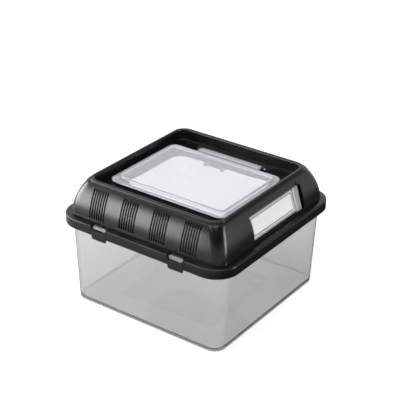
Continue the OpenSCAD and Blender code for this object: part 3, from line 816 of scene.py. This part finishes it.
def build_latch(side, centre):
    """A crossbar and a pull tab hung on two arms, which turn on stubs inside the rim."""
    # Plates are built lying down: x stays, their own y goes up, their own z comes out of the front
    stand = Matrix(((1, 0, 0, centre), (0, 0, -1, 0), (0, 1, 0, 0), (0, 0, 0, 1)))
    width = (-LATCH_HALF, LATCH_HALF)
    latch = slab(f"latch_piece_{side}", width, (RIM_LOW, LATCH_BAR_TOP), (LATCH_BACK, LATCH_FRONT),
                 radius=0.7, soft=0.5, material=BLACK_LATCH, matrix=stand)
    added = [slab("pull tab", width, PULL_HEIGHT, PULL_DEPTH,
                  radius=2.0, soft=0.2, material=BLACK_LATCH, matrix=stand)]
    arm_depth = (LATCH_BACK + ARM_INSIDE, LATCH_FRONT - ARM_INSIDE)
    for t in (-1, 1):
        arm = sorted((t * ARM_IN, t * (LATCH_HALF - ARM_INSIDE)))
        added.append(slab("arm", arm, ARM_HEIGHT, arm_depth,
                          radius=0.4, soft=0.25, material=BLACK_LATCH, matrix=stand))
        stub = sorted((centre + t * STUB_FROM, centre + t * STUB_TO))
        added.append(rod("stub", stub, LATCH_Y, LATCH_Z, LATCH_STUB_R, BLACK_LATCH, soft=0.15,
                         steps=THIN_ROD_STEPS))
    combine(latch, "UNION", added)
    finish_piece(latch)
    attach(latch, f"latch_{side}_body")
    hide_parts(f"latch_{side}")


build_latch("left", -CLIP_X)
build_latch("right", CLIP_X)


# ---------------------------------------------------------------- label holder

# The cover's tab. It lies just inside the plate's faces, so that the joined piece stays closed.
COVER_TAB_ALONG, COVER_TAB_RISE, COVER_TAB_OUT = (34.5, 43.45), (-12.7, 12.64), (-2.24, -0.36)
# Grip grooves across the tab's root
GROOVES, GROOVE_PITCH, GROOVES_ALONG = 2, 2.4, 34.0
GROOVE_SIZE = (0.7, 26.4, 1.4)


def build_cover():
    """A clear plate with a grooved tab at its rear end, and room for the card behind it."""
    cover = slab("label_cover_plate", COVER_ALONG, COVER_RISE, COVER_OUT,
                 radius=0.9, soft=0.6, material=CLEAR_COVER, matrix=FLAT_ON_SLOPE)
    combine(cover, "UNION", [slab("cover tab", COVER_TAB_ALONG, COVER_TAB_RISE, COVER_TAB_OUT,
                                  radius=0.9, soft=0.5, material=CLEAR_COVER, matrix=FLAT_ON_SLOPE)])
    combine(cover, "DIFFERENCE", [
        box("card room", CARD_ALONG, CARD_RISE, (-3.0, CARD_OUT[1]), CLEAR_COVER, FLAT_ON_SLOPE),
        comb("grip grooves", GROOVES, GROOVE_PITCH, (GROOVES_ALONG, 0, COVER_OUT[1]), GROOVE_SIZE,
             CLEAR_COVER, FLAT_ON_SLOPE)])
    return cover


cover = build_cover()
finish_piece(cover)
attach(cover, "label_body")
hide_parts("label_cover")

card = box("blank_label_card", CARD_ALONG, CARD_RISE, CARD_OUT, LABEL_CARD, FLAT_ON_SLOPE)
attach(card, "label_body")
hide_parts("label_card")


# ---------------------------------------------------------------- floor, light and camera

# The floor's paint and the backdrop's light, and the glow that is added where the camera, or a ray
# through a clear piece, sees them
FLOOR_PAINT, FLOOR_GLOW = 0.42, 0.62
BACKDROP_LIGHT, BACKDROP_GLOW = 0.45, 0.55
# How much darker the floor's paint is painted where gloss mirrors it, as a painted dark reflection
GLOSS_PAINT_LESS = 0.38

# What the camera aims at and its distance are in millimetres, its angles in degrees
CAMERA_AIM = Vector((-2.99, 7.91, 99.03))
CAMERA_AZIMUTH, CAMERA_ELEVATION, CAMERA_ROLL = 35.36, 27.42, 0.88
CAMERA_DISTANCE = 1217.93
CAMERA_LENS = 106.58


def fade(tree, value, start, end, before, after):
    """Goes smoothly from one number to another while the value runs from start to end."""
    node = tree.nodes.new("ShaderNodeMapRange")
    node.interpolation_type = "SMOOTHSTEP"
    tree.links.new(value, node.inputs["Value"])
    for label, number in zip(("From Min", "From Max", "To Min", "To Max"), (start, end, before, after)):
        node.inputs[label].default_value = number
    return node.outputs["Result"]


def vector_node(tree, operation, a, b):
    """The number that a Vector Math node makes of a socket and a fixed vector."""
    node = tree.nodes.new("ShaderNodeVectorMath")
    node.operation = operation
    tree.links.new(a, node.inputs[0])
    node.inputs[1].default_value = b
    return node.outputs["Value"]


def seen_ray(tree):
    """1 where a ray comes straight from the camera or has passed through a clear piece."""
    path = tree.nodes.new("ShaderNodeLightPath")
    return math_node(tree, "MAXIMUM", path.outputs["Is Camera Ray"], path.outputs["Is Transmission Ray"])


def mirrored_ray(tree):
    """1 where a ray was mirrored off a glossy surface, and hasn't passed through a clear one since."""
    path = tree.nodes.new("ShaderNodeLightPath")
    through = math_node(tree, "SUBTRACT", 1.0, path.outputs["Is Transmission Ray"])
    return math_node(tree, "MULTIPLY", path.outputs["Is Glossy Ray"], through)


def build_floor():
    """A pale floor that keeps the box's shadow."""
    mesh = bpy.data.meshes.new("floor")
    mesh.from_pydata([(-4, -4, 0), (4, -4, 0), (4, 4, 0), (-4, 4, 0)], [], [(0, 1, 2, 3)])
    floor = bpy.data.objects.new("floor", mesh)
    scene.collection.objects.link(floor)
    material = bpy.data.materials.new("floor")
    material.use_nodes = True
    tree = material.node_tree
    tree.nodes.remove(tree.nodes["Principled BSDF"])
    seen, mirrored = seen_ray(tree), mirrored_ray(tree)
    # Painted reflection: in the gloss the floor glows, with no glow near the box and pale from some way off
    place = tree.nodes.new("ShaderNodeTexCoord").outputs["Object"]
    reach = vector_node(tree, "DISTANCE", place, (0.25, 0.2, 0.0))
    far = fade(tree, reach, start=0.3, end=0.65, before=0.0, after=0.75)
    paint = tree.nodes.new("ShaderNodeBsdfDiffuse")
    # Painted dark reflection: the floor's paint is darker for rays mirrored by gloss
    shade = math_node(tree, "SUBTRACT", FLOOR_PAINT,
                      math_node(tree, "MULTIPLY", mirrored, GLOSS_PAINT_LESS))
    tree.links.new(shade, paint.inputs["Color"])
    glow = tree.nodes.new("ShaderNodeEmission")
    tree.links.new(math_node(tree, "ADD", math_node(tree, "MULTIPLY", seen, FLOOR_GLOW),
                             math_node(tree, "MULTIPLY", mirrored, far)), glow.inputs["Strength"])
    add = tree.nodes.new("ShaderNodeAddShader")
    tree.links.new(paint.outputs[0], add.inputs[0])
    tree.links.new(glow.outputs[0], add.inputs[1])
    tree.links.new(add.outputs[0], tree.nodes["Material Output"].inputs["Surface"])
    mesh.materials.append(material)


def build_world():
    """A white backdrop. Gloss finds a pale band along the horizon and a dark studio above it."""
    world = bpy.data.worlds.new("studio")
    scene.world = world
    world.use_nodes = True
    tree = world.node_tree
    seen, mirrored = seen_ray(tree), mirrored_ray(tree)
    direction = tree.nodes.new("ShaderNodeTexCoord").outputs["Generated"]
    parts = tree.nodes.new("ShaderNodeSeparateXYZ")
    tree.links.new(direction, parts.inputs[0])
    band = fade(tree, parts.outputs["Z"], start=0.24, end=0.42, before=0.85, after=0.03)
    # It also finds the upper part of the backdrop, behind the box on the left
    facing = vector_node(tree, "DOT_PRODUCT", direction, (-0.516, 0.726, 0.456))
    patch = fade(tree, facing, start=0.8, end=0.93, before=0.0, after=0.9)
    found = math_node(tree, "MAXIMUM", band, patch)
    plain = math_node(tree, "ADD", math_node(tree, "MULTIPLY", seen, BACKDROP_GLOW), BACKDROP_LIGHT)
    shown = math_node(tree, "MULTIPLY", plain, math_node(tree, "SUBTRACT", 1.0, mirrored))
    strength = math_node(tree, "ADD", shown, math_node(tree, "MULTIPLY", mirrored, found))
    back = tree.nodes["Background"]
    back.inputs["Color"].default_value = (1, 1, 1, 1)
    tree.links.new(strength, back.inputs["Strength"])


def outward(azimuth, elevation):
    """Unit vector away from the box. Azimuth runs in degrees from the front towards the right."""
    a, e = math.radians(azimuth), math.radians(elevation)
    return Vector((math.sin(a) * math.cos(e), -math.cos(a) * math.cos(e), math.sin(e)))


def softbox(name, azimuth, elevation, distance, width, height, power):
    """A lamp panel that faces the box, with its sizes in metres."""
    direction = outward(azimuth, elevation)
    data = bpy.data.lights.new(name, "AREA")
    data.shape = "RECTANGLE"
    data.size, data.size_y = width, height
    data.energy = power
    lamp = bpy.data.objects.new(name, data)
    scene.collection.objects.link(lamp)
    lamp.location = direction * distance + Vector((0, 0, 0.1))
    lamp.rotation_euler = direction.to_track_quat("Z", "Y").to_euler()
    lamp.visible_camera = False
    lamp.visible_transmission = False


def build_camera():
    """The camera looks down at the front from the right, with a slight roll."""
    out = outward(CAMERA_AZIMUTH, CAMERA_ELEVATION)
    roll = math.radians(CAMERA_ROLL)
    right = (-out).cross(Vector((0, 0, 1))).normalized()
    up = right.cross(-out)
    across = right * math.cos(roll) + up * math.sin(roll)
    above = up * math.cos(roll) - right * math.sin(roll)
    data = bpy.data.cameras.new("camera")
    data.sensor_width = 36.0
    data.lens = CAMERA_LENS
    data.clip_end = 50.0
    camera = bpy.data.objects.new("camera", data)
    scene.collection.objects.link(camera)
    turn = Matrix((across, above, out)).transposed().to_4x4()
    camera.matrix_world = Matrix.Translation((CAMERA_AIM + out * CAMERA_DISTANCE) * MM) @ turn
    scene.camera = camera


build_floor()
build_world()
softbox("left softbox", azimuth=-59, elevation=6, distance=1.2, width=1.44, height=0.56, power=28)
softbox("right strip", azimuth=111, elevation=10, distance=1.1, width=0.24, height=0.8, power=7.3)
softbox("front strip", azimuth=-46, elevation=48, distance=1.2, width=1.3, height=0.18, power=6)
softbox("top softbox", azimuth=10, elevation=80, distance=1.3, width=1.1, height=1.1, power=14)
build_camera()
scene.view_settings.view_transform = "Standard"
